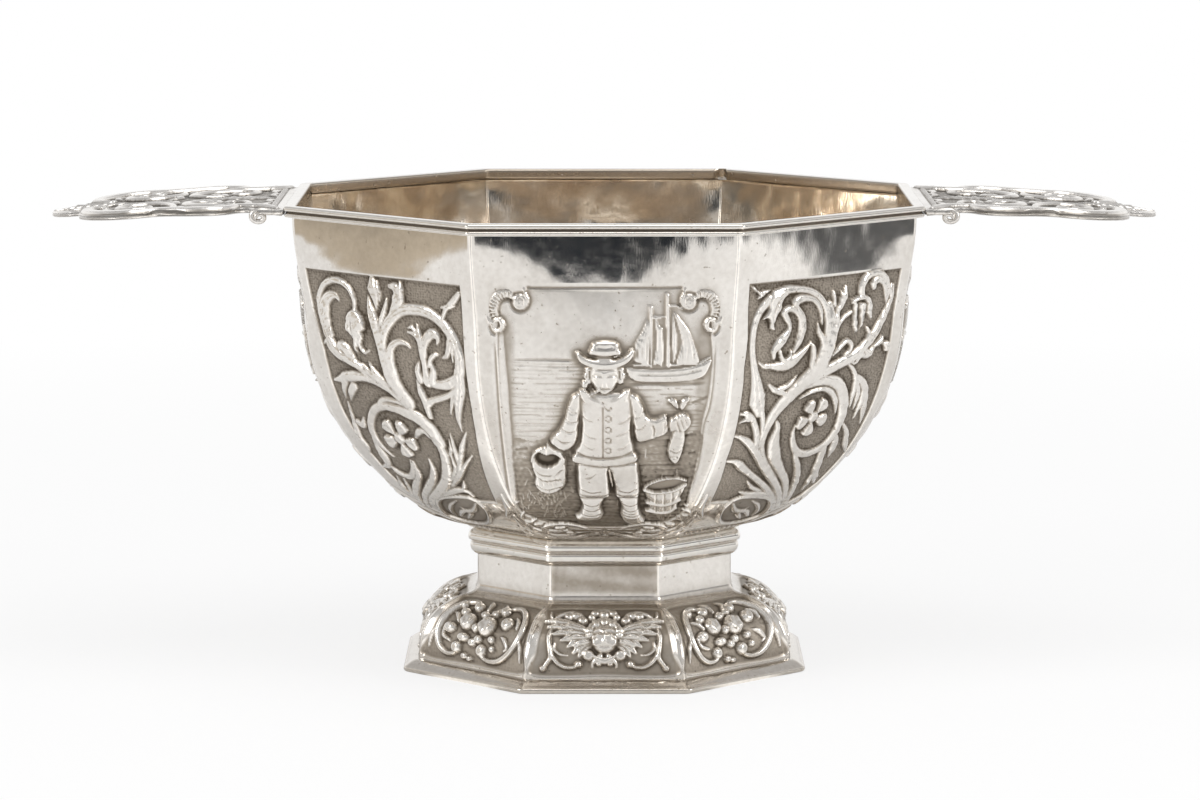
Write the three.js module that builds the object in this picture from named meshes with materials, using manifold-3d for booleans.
// Eight-sided silver brandy bowl on a flared foot, with two flat shaped handles at the rim.
// Lengths are in millimetres, +Z is up, and the origin is the middle of the base's underside.
// One side faces the front, -Y. The handles reach out along +X and -X.
// An apothem is the distance from the bowl's axis to the middle of a side.

import * as THREE from 'three';
import { mergeVertices } from 'three/addons/utils/BufferGeometryUtils.js';
import Module from 'manifold-3d';

const wasm = await Module();
wasm.setup();

// The sides in order round the axis, from +X towards +Y
const SIDE_NAMES = [
  'right', 'back_right', 'back', 'back_left', 'left', 'front_left', 'front', 'front_right',
];

// Silver sheet of the bowl's wall and of the foot
const WALL_THICKNESS = 0.8;
const FOOT_THICKNESS = 0.8;

// Bowl wall, over the outside: a slightly opening upper part, then one arc in to the floor
const MOUTH_APOTHEM = 66.2;
const BELLY_APOTHEM = 65.3;
const UPPER_WALL_HEIGHT = 19.6;
const WALL_CURVE_RADIUS = 51.1;
const FLOOR_APOTHEM = 24.5;
const WALL_CURVE_STEPS = 12;
const UPPER_WALL_STEPS = 4;

// Each side of the wall swells out between its corners. The swell grows over a run of wall down
// from the mouth, and fades over another to an end above the bowl's lower edge.
const WALL_SWELL = 1.9;
const WALL_SWELL_UPPER_RUN = 22;
const WALL_SWELL_LOWER_RUN = 16;
const WALL_SWELL_END = 1;
const WALL_STRIPS = 4;

// Rim wire, which lies on the wall's upper edge and stands out over it
const RIM_WIDTH = 2.6;
const RIM_UPPER_BEAD_HEIGHT = 1.1;
const RIM_LOWER_BEAD_HEIGHT = 0.9;
const RIM_LOWER_BEAD_SETBACK = 0.2;
const RIM_GROOVE_HEIGHT = 0.4;
const RIM_GROOVE_DEPTH = 0.8;
const RIM_ROUNDING = 0.25;
const RIM_SEAM_AFTER = 'back_right';
const RIM_SEAM_WIDTH = 3;
const RIM_SEAM_DEPTH = 1.1;

// Collar between the bowl and the foot
const COLLAR_OVERHANG = 2.1;
const COLLAR_SEAT_HEIGHT = 1.95;
const COLLAR_RING_HEIGHT = 2.5;
const COLLAR_RING_WIDTH = 1.6;
const COLLAR_RING_UNDERCUT = 0.2;
// Shares of the ring's height at which its curve leaves the lower edge and reaches the top
const COLLAR_RING_LOWER_PULL = 0.4;
const COLLAR_RING_UPPER_PULL = 0.8;
const COLLAR_RING_STEPS = 4;
const COLLAR_GROOVE_HEIGHT = 0.4;
const COLLAR_GROOVE_DEPTH = 0.7;
const COLLAR_BAND_SETBACK = 0.4;
const COLLAR_BAND_HEIGHT = 2.2;
const COLLAR_BAND_TAPER = 0.8;
const COLLAR_LIP_HEIGHT = 0.6;
const COLLAR_LIP_SETBACK = 0.4;
const COLLAR_SEAT_WIDTH = 3;
const COLLAR_LEDGE = 0.7;

// Foot: a plain neck that spreads through a hollow into a full, rounded flare
const NECK_APOTHEM = 27.5;
const NECK_HEIGHT = 6.4;
const HOLLOW_WIDTH = 2.3;
const HOLLOW_HEIGHT = 2.4;
const HOLLOW_OPENING = 0.3;
const FLARE_WIDTH = 10.2;
const FLARE_HEIGHT = 13.4;
const FLARE_FULLNESS = 0.6;
const FLARE_TOP_SLOPE = 0.1;
const HOLLOW_STEPS = 4;
const FLARE_STEPS = 9;

// Base moulding under the foot
const BASE_APOTHEM = 43.5;
const BASE_EDGE_HEIGHT = 1.5;
const BASE_EDGE_GROOVE_DEPTH = 0.3;
const BASE_EDGE_GROOVE_HEIGHT = 0.3;
const BASE_STEP_HEIGHT = 1.1;
const BASE_STEP_MARGIN = 1.2;
const BASE_LEDGE = 1;

// Handles: a flat cast plate with raised straps along its edges
const HANDLE_REACH = 52;
const HANDLE_CORNER_MARGIN = 0.4;
const HANDLE_DROOP = 2.85;
const HANDLE_PLATE_TOP = 0.7;
const HANDLE_PLATE_THICKNESS = 1.3;
const HANDLE_ROOT_BAR_WIDTH = 1.6;
const BORDER_STRAP_WIDTH = 3.2;
const BORDER_STRAP_HEIGHT = 2.2;
const SCROLL_STRAP_WIDTH = 2.6;
const SCROLL_STRAP_HEIGHT = 2;
const STRAP_TAPER_LENGTH = 5;
const STRAP_END_SHARE = 0.4;
const ROOT_CURL_RADIUS = 1.85;
const STRAP_CORNERS = 6;
const STRAP_STEPS = 14;
const CURL_SEGMENTS = 8;
const CURL_RINGS = 6;
const OUTLINE_STEPS = 64;

// Half of the handle's outline and its straps, drawn on a plate of reach 1 and half-width 1.
// The first number of a point runs out from the rim and the second across, from the middle line.
const HALF_OUTLINE = [
  [0, 0.98], [0.05, 1], [0.1, 0.99], [0.12, 0.9], [0.15, 0.8], [0.19, 0.81], [0.23, 0.92], [0.29, 0.98],
  [0.38, 0.95], [0.46, 0.88], [0.53, 0.85], [0.61, 0.9], [0.69, 0.89], [0.76, 0.81], [0.82, 0.68],
  [0.86, 0.5], [0.865, 0.35], [0.87, 0.25], [0.92, 0.22], [0.965, 0.14], [0.993, 0.05],
];
const BORDER_STRAP = [
  [0.25, 0.88], [0.33, 0.9], [0.42, 0.83], [0.52, 0.77], [0.62, 0.82], [0.71, 0.77], [0.78, 0.65],
  [0.815, 0.45], [0.8, 0.26], [0.73, 0.18],
];
const INNER_STRAP = [
  [0.05, 0.86], [0.11, 0.7], [0.2, 0.62], [0.3, 0.6], [0.39, 0.5], [0.42, 0.33], [0.36, 0.2], [0.27, 0.22],
];
const TIP_RIB = [[0.66, 0], [0.76, 0], [0.86, 0], [0.97, 0]];
const CURL_PLACE = [0.065, 0.91];

// Heights that follow from the pieces, stacked up from the floor
const baseTop = BASE_EDGE_HEIGHT + BASE_STEP_HEIGHT;
const footTop = baseTop + FLARE_HEIGHT + HOLLOW_HEIGHT + NECK_HEIGHT;
const collarBandBottom = footTop + COLLAR_LIP_HEIGHT;
const collarBandTop = collarBandBottom + COLLAR_BAND_HEIGHT;
const collarRingBottom = collarBandTop + COLLAR_GROOVE_HEIGHT;
const bowlBottom = collarRingBottom + COLLAR_SEAT_HEIGHT;
const wallCurveCentre = BELLY_APOTHEM - WALL_CURVE_RADIUS;
const bellyHeight = bowlBottom + Math.sqrt(WALL_CURVE_RADIUS ** 2 - (FLOOR_APOTHEM - wallCurveCentre) ** 2);
const wallTop = bellyHeight + UPPER_WALL_HEIGHT;
const rimHeight = RIM_LOWER_BEAD_HEIGHT + RIM_GROOVE_HEIGHT + RIM_UPPER_BEAD_HEIGHT;
const rimTop = wallTop + rimHeight;
const rimInner = MOUTH_APOTHEM - WALL_THICKNESS;
const rimOuter = rimInner + RIM_WIDTH;
const flareApothem = NECK_APOTHEM + HOLLOW_WIDTH + FLARE_WIDTH;
const handleHalfWidth = rimOuter * Math.tan(Math.PI / SIDE_NAMES.length) - HANDLE_CORNER_MARGIN;

// Direction of each corner, as long as a corner is from the axis when the apothem is 1
const sideAngle = (2 * Math.PI) / SIDE_NAMES.length;
const cornerDirections = SIDE_NAMES.map((_, corner) => {
  const angle = (corner + 0.5) * sideAngle;
  const length = 1 / Math.cos(sideAngle / 2);
  return [length * Math.cos(angle), length * Math.sin(angle)];
});

// A section's points at one corner
function pointsAtCorner(section, corner) {
  const [x, y] = cornerDirections[corner % cornerDirections.length];
  return section.map(([apothem, z]) => [apothem * x, apothem * y, z]);
}

// Two triangles for each edge of the section, from the points at one corner to those at the next
function skinBetween(first, second, count) {
  const triangles = [];
  for (let i = 0; i < count; i += 1) {
    const next = (i + 1) % count;
    triangles.push(first + i, second + next, first + next);
    triangles.push(first + i, second + i, second + next);
  }
  return triangles;
}

function geometryFrom(points, triangles) {
  const geometry = new THREE.BufferGeometry();
  geometry.setAttribute('position', new THREE.Float32BufferAttribute(points.flat(), 3));
  geometry.setIndex(triangles);
  geometry.computeVertexNormals();
  return geometry;
}

// One side's piece between two mitred corners. The section runs anticlockwise, apothem then height.
// Its strips let the middle stand out past the corners by the swell at each height.
function sidePanel(section, side, strips = 1, swell = () => 0) {
  const count = section.length;
  const sides = SIDE_NAMES.length;
  const [startX, startY] = cornerDirections[(side + sides - 1) % sides];
  const [endX, endY] = cornerDirections[side];
  const points = [];
  const triangles = [];
  for (let strip = 0; strip <= strips; strip += 1) {
    const share = strip / strips;
    const x = startX * (1 - share) + endX * share;
    const y = startY * (1 - share) + endY * share;
    const toCorner = 2 * share - 1;
    for (const [apothem, z] of section) {
      const reach = apothem - swell(z) * toCorner ** 2;
      points.push([reach * x, reach * y, z]);
    }
    if (strip > 0) {
      triangles.push(...skinBetween((strip - 1) * count, strip * count, count));
    }
  }
  const outline = section.map(([apothem, z]) => new THREE.Vector2(apothem, z));
  const last = strips * count;
  for (const [a, b, c] of THREE.ShapeUtils.triangulateShape(outline, [])) {
    triangles.push(a, b, c);
    triangles.push(last + a, last + c, last + b);
  }
  return geometryFrom(points, triangles);
}

// A closed ring with the same section at every corner
function cornerRing(section) {
  const count = section.length;
  const sides = SIDE_NAMES.length;
  const points = [];
  const triangles = [];
  for (let corner = 0; corner < sides; corner += 1) {
    points.push(...pointsAtCorner(section, corner));
    triangles.push(...skinBetween(corner * count, ((corner + 1) % sides) * count, count));
  }
  return geometryFrom(points, triangles);
}

function toManifold(geometry) {
  const bare = geometry.clone();
  bare.deleteAttribute('normal');
  bare.deleteAttribute('uv');
  const merged = mergeVertices(bare, 1e-4);
  const vertProperties = new Float32Array(merged.attributes.position.array);
  const triVerts = new Uint32Array(merged.index.array);
  return new wasm.Manifold(new wasm.Mesh({ numProp: 3, vertProperties, triVerts }));
}

function toGeometry(manifold) {
  const mesh = manifold.getMesh();
  const geometry = new THREE.BufferGeometry();
  geometry.setAttribute('position', new THREE.BufferAttribute(mesh.vertProperties, 3));
  geometry.setIndex(new THREE.BufferAttribute(mesh.triVerts, 1));
  geometry.computeVertexNormals();
  return geometry;
}

// Wall of the bowl: up the outside from the floor's edge and down the inside
function wallSection() {
  const outside = [];
  const inside = [];
  const innerRadius = WALL_CURVE_RADIUS - WALL_THICKNESS;
  const outerEnd = Math.acos((FLOOR_APOTHEM - wallCurveCentre) / WALL_CURVE_RADIUS);
  const innerEnd = Math.acos((FLOOR_APOTHEM - wallCurveCentre) / innerRadius);
  for (let step = WALL_CURVE_STEPS; step >= 0; step -= 1) {
    const outer = (outerEnd * step) / WALL_CURVE_STEPS;
    const inner = (innerEnd * step) / WALL_CURVE_STEPS;
    outside.push([
      wallCurveCentre + WALL_CURVE_RADIUS * Math.cos(outer),
      bellyHeight - WALL_CURVE_RADIUS * Math.sin(outer),
    ]);
    inside.push([
      wallCurveCentre + innerRadius * Math.cos(inner),
      bellyHeight - innerRadius * Math.sin(inner),
    ]);
  }
  for (let step = 1; step <= UPPER_WALL_STEPS; step += 1) {
    const share = step / UPPER_WALL_STEPS;
    const z = bellyHeight + share * UPPER_WALL_HEIGHT;
    const apothem = BELLY_APOTHEM + share * (MOUTH_APOTHEM - BELLY_APOTHEM);
    outside.push([apothem, z]);
    inside.push([apothem - WALL_THICKNESS, z]);
  }
  return [...outside, ...inside.reverse()];
}

// How far the middle of a side of the wall stands out past its corners at a height
function wallSwell(z) {
  const fromAbove = THREE.MathUtils.smoothstep(wallTop - z, 0, WALL_SWELL_UPPER_RUN);
  const fromBelow = THREE.MathUtils.smoothstep(z - bowlBottom - WALL_SWELL_END, 0, WALL_SWELL_LOWER_RUN);
  return WALL_SWELL * fromAbove * fromBelow;
}

// Flat plate that closes the bowl, as thick as the lower ends of the wall
function bowlFloor() {
  const innerRadius = WALL_CURVE_RADIUS - WALL_THICKNESS;
  const top = bellyHeight - Math.sqrt(innerRadius ** 2 - (FLOOR_APOTHEM - wallCurveCentre) ** 2);
  const outline = new THREE.Shape(
    cornerDirections.map(([x, y]) => new THREE.Vector2(FLOOR_APOTHEM * x, FLOOR_APOTHEM * y)),
  );
  const geometry = new THREE.ExtrudeGeometry(outline, { depth: top - bowlBottom, bevelEnabled: false });
  geometry.translate(0, 0, bowlBottom);
  return geometry;
}

// Rim wire with two beads and a groove between them, and its butt seam open at one inner corner
function rimWire() {
  const lowerEdge = rimOuter - RIM_LOWER_BEAD_SETBACK;
  const grooveBottom = wallTop + RIM_LOWER_BEAD_HEIGHT;
  const grooveTop = grooveBottom + RIM_GROOVE_HEIGHT;
  const section = [
    [rimInner, wallTop],
    [lowerEdge - RIM_ROUNDING, wallTop],
    [lowerEdge, wallTop + RIM_ROUNDING],
    [lowerEdge, grooveBottom - RIM_ROUNDING],
    [rimOuter - RIM_GROOVE_DEPTH, grooveBottom],
    [rimOuter - RIM_GROOVE_DEPTH, grooveTop],
    [rimOuter, grooveTop + RIM_ROUNDING],
    [rimOuter, rimTop - RIM_ROUNDING],
    [rimOuter - RIM_ROUNDING, rimTop],
    [rimInner + RIM_ROUNDING, rimTop],
    [rimInner, rimTop - RIM_ROUNDING],
  ];
  const [cornerX, cornerY] = cornerDirections[SIDE_NAMES.indexOf(RIM_SEAM_AFTER)];
  const cornerLength = Math.hypot(cornerX, cornerY);
  const seam = new THREE.Shape([
    new THREE.Vector2(-RIM_SEAM_DEPTH, -RIM_SEAM_WIDTH),
    new THREE.Vector2(RIM_SEAM_DEPTH, 0),
    new THREE.Vector2(-RIM_SEAM_DEPTH, RIM_SEAM_WIDTH),
  ]);
  const cutter = new THREE.ExtrudeGeometry(seam, { depth: 2 * rimHeight, bevelEnabled: false });
  cutter.translate(rimInner * cornerLength, 0, wallTop - rimHeight / 2);
  cutter.rotateZ(Math.atan2(cornerY, cornerX));
  return toGeometry(toManifold(cornerRing(section)).subtract(toManifold(cutter)));
}

// Collar: a rounded ring under the bowl's edge, a fine groove, and a band that tapers to the neck
function collarSection() {
  const widest = NECK_APOTHEM + COLLAR_OVERHANG;
  const band = widest - COLLAR_BAND_SETBACK;
  const seatInner = NECK_APOTHEM - FOOT_THICKNESS - COLLAR_LEDGE;
  const undercut = COLLAR_RING_WIDTH * COLLAR_RING_UNDERCUT;
  const ring = new THREE.Path();
  ring.moveTo(widest - undercut, collarRingBottom);
  ring.bezierCurveTo(
    widest + undercut, collarRingBottom + COLLAR_RING_HEIGHT * COLLAR_RING_LOWER_PULL,
    widest - undercut, collarRingBottom + COLLAR_RING_HEIGHT * COLLAR_RING_UPPER_PULL,
    widest - COLLAR_RING_WIDTH, collarRingBottom + COLLAR_RING_HEIGHT,
  );
  return [
    [seatInner, footTop],
    [band - COLLAR_BAND_TAPER - COLLAR_LIP_SETBACK, footTop],
    [band - COLLAR_BAND_TAPER, collarBandBottom],
    [band, collarBandTop],
    [widest - COLLAR_GROOVE_DEPTH, collarBandTop + COLLAR_GROOVE_HEIGHT / 2],
    ...ring.getPoints(COLLAR_RING_STEPS).map((point) => [point.x, point.y]),
    [FLOOR_APOTHEM, bowlBottom],
    [FLOOR_APOTHEM - COLLAR_SEAT_WIDTH, bowlBottom],
    [FLOOR_APOTHEM - COLLAR_SEAT_WIDTH, collarRingBottom],
  ];
}

// Foot: its outside from the base up to the collar, and the inside one sheet thickness in
function footSection() {
  const flareTop = baseTop + FLARE_HEIGHT;
  const hollowOuter = NECK_APOTHEM + HOLLOW_WIDTH;
  const hollowTop = flareTop + HOLLOW_HEIGHT;
  const outside = new THREE.Path();
  outside.moveTo(flareApothem, baseTop);
  outside.bezierCurveTo(
    flareApothem, baseTop + FLARE_HEIGHT * FLARE_FULLNESS,
    hollowOuter + FLARE_WIDTH * FLARE_FULLNESS, flareTop - FLARE_HEIGHT * FLARE_TOP_SLOPE,
    hollowOuter, flareTop,
  );
  const flare = outside.getPoints(FLARE_STEPS);
  const hollow = new THREE.QuadraticBezierCurve(
    new THREE.Vector2(hollowOuter, flareTop),
    new THREE.Vector2(NECK_APOTHEM, flareTop + HOLLOW_HEIGHT * HOLLOW_OPENING),
    new THREE.Vector2(NECK_APOTHEM, hollowTop),
  ).getPoints(HOLLOW_STEPS).slice(1);
  const points = [...flare, ...hollow, new THREE.Vector2(NECK_APOTHEM, footTop)];
  const inside = points.map((point, i) => {
    if (i === 0 || i === points.length - 1) {
      return [point.x - FOOT_THICKNESS, point.y];
    }
    const along = points[i + 1].clone().sub(points[i - 1]).normalize();
    return [point.x - along.y * FOOT_THICKNESS, point.y + along.x * FOOT_THICKNESS];
  });
  return [...points.map((point) => [point.x, point.y]), ...inside.reverse()];
}

// Base moulding: a grooved edge that stands on the floor, and a step that the foot is seated on
function baseSection() {
  const stepOuter = flareApothem + BASE_STEP_MARGIN;
  const inner = flareApothem - FOOT_THICKNESS - BASE_LEDGE;
  const grooveMiddle = BASE_EDGE_HEIGHT / 2;
  return [
    [inner, 0],
    [BASE_APOTHEM, 0],
    [BASE_APOTHEM, grooveMiddle - BASE_EDGE_GROOVE_HEIGHT / 2],
    [BASE_APOTHEM - BASE_EDGE_GROOVE_DEPTH, grooveMiddle],
    [BASE_APOTHEM, grooveMiddle + BASE_EDGE_GROOVE_HEIGHT / 2],
    [BASE_APOTHEM - BASE_EDGE_GROOVE_DEPTH, BASE_EDGE_HEIGHT],
    [stepOuter, BASE_EDGE_HEIGHT],
    [stepOuter - BASE_EDGE_GROOVE_DEPTH, baseTop],
    [inner, baseTop],
  ];
}

// A point of a handle's drawing in millimetres, with the far half mirrored by side -1
function onHandle([out, across], side = 1) {
  return new THREE.Vector2(out * HANDLE_REACH, side * across * handleHalfWidth);
}

// Plate of the handle, from a straight root along the rim round to the tip
function handlePlate() {
  const near = HALF_OUTLINE.map((point) => onHandle(point, -1));
  const far = HALF_OUTLINE.map((point) => onHandle(point, 1)).reverse();
  const edge = new THREE.SplineCurve([...near, onHandle([1, 0]), ...far]);
  const geometry = new THREE.ExtrudeGeometry(new THREE.Shape(edge.getPoints(OUTLINE_STEPS)), {
    depth: HANDLE_PLATE_THICKNESS,
    bevelEnabled: false,
  });
  geometry.translate(0, 0, -HANDLE_PLATE_TOP - HANDLE_PLATE_THICKNESS);
  return geometry;
}

// A raised strap: a flat oval rod along a smooth curve, narrowed towards its ends
function strap(drawing, side, width, height) {
  const curve = new THREE.SplineCurve(drawing.map((point) => onHandle(point, side)));
  const length = curve.getLength();
  const points = [];
  const triangles = [];
  for (let step = 0; step <= STRAP_STEPS; step += 1) {
    const share = step / STRAP_STEPS;
    const centre = curve.getPointAt(share);
    const along = curve.getTangentAt(share);
    const toEnd = Math.min(share, 1 - share) * length;
    const taper = Math.min(1, STRAP_END_SHARE + toEnd / STRAP_TAPER_LENGTH);
    for (let corner = 0; corner < STRAP_CORNERS; corner += 1) {
      const angle = (2 * Math.PI * corner) / STRAP_CORNERS;
      const across = (Math.cos(angle) * width * taper) / 2;
      // A hexagon that measures 1 over its flats has a corner radius of 1 over the root of 3
      const up = (Math.sin(angle) * height) / Math.sqrt(3);
      points.push([centre.x - along.y * across, centre.y + along.x * across, up - height / 2]);
    }
    if (step > 0) {
      const ring = step * STRAP_CORNERS;
      triangles.push(...skinBetween(ring, ring - STRAP_CORNERS, STRAP_CORNERS));
    }
  }
  const last = STRAP_STEPS * STRAP_CORNERS;
  for (let corner = 1; corner < STRAP_CORNERS - 1; corner += 1) {
    triangles.push(0, corner + 1, corner);
    triangles.push(last, last + corner, last + corner + 1);
  }
  return geometryFrom(points, triangles);
}

// Straight bar along the rim that carries the handle, flush with the rim's top
function rootBar() {
  const width = 2 * HALF_OUTLINE[0][1] * handleHalfWidth;
  const height = HANDLE_PLATE_TOP + HANDLE_PLATE_THICKNESS;
  const geometry = new THREE.BoxGeometry(HANDLE_ROOT_BAR_WIDTH, width, height);
  geometry.translate(HANDLE_ROOT_BAR_WIDTH / 2, 0, -height / 2);
  return geometry;
}

// Small curl that hangs under each root corner
function rootCurl(side) {
  const place = onHandle(CURL_PLACE, side);
  const geometry = new THREE.SphereGeometry(ROOT_CURL_RADIUS, CURL_SEGMENTS, CURL_RINGS);
  geometry.translate(place.x, place.y, -ROOT_CURL_RADIUS);
  return geometry;
}

// One handle on the side at +X. It sinks towards the tip by the square of the way out.
function handle() {
  let solid = toManifold(handlePlate()).add(toManifold(rootBar()));
  for (const side of [-1, 1]) {
    solid = solid.add(toManifold(strap(BORDER_STRAP, side, BORDER_STRAP_WIDTH, BORDER_STRAP_HEIGHT)));
    solid = solid.add(toManifold(strap(INNER_STRAP, side, SCROLL_STRAP_WIDTH, SCROLL_STRAP_HEIGHT)));
    solid = solid.add(toManifold(rootCurl(side)));
  }
  solid = solid.add(toManifold(strap(TIP_RIB, 1, SCROLL_STRAP_WIDTH, SCROLL_STRAP_HEIGHT)));
  const geometry = toGeometry(solid);
  const position = geometry.attributes.position;
  for (let i = 0; i < position.count; i += 1) {
    const out = position.getX(i);
    const sunk = HANDLE_DROOP * (out / HANDLE_REACH) ** 2;
    position.setXYZ(i, rimOuter + out, position.getY(i), rimTop + position.getZ(i) - sunk);
  }
  geometry.computeVertexNormals();
  return geometry;
}

const silver = new THREE.MeshStandardMaterial({ color: '#c9c4bb', roughness: 0.28, metalness: 1 });
const darkenedSilver = new THREE.MeshStandardMaterial({ color: '#a39b8f', roughness: 0.4, metalness: 1 });

const bowl = new THREE.Group();

function place(name, geometry, material) {
  const mesh = new THREE.Mesh(geometry, material);
  mesh.name = name;
  bowl.add(mesh);
  return mesh;
}

SIDE_NAMES.forEach((name, side) => {
  place(`wall_panel_${name}`, sidePanel(wallSection(), side, WALL_STRIPS, wallSwell), darkenedSilver);
  place(`foot_panel_${name}`, sidePanel(footSection(), side), darkenedSilver);
});
place('bowl_floor', bowlFloor(), silver);
place('rim_wire', rimWire(), silver);
place('collar_moulding', cornerRing(collarSection()), silver);
place('base_moulding', cornerRing(baseSection()), silver);
place('handle_right', handle(), silver);
place('handle_left', handle(), silver).rotation.z = Math.PI;

export default bowl;
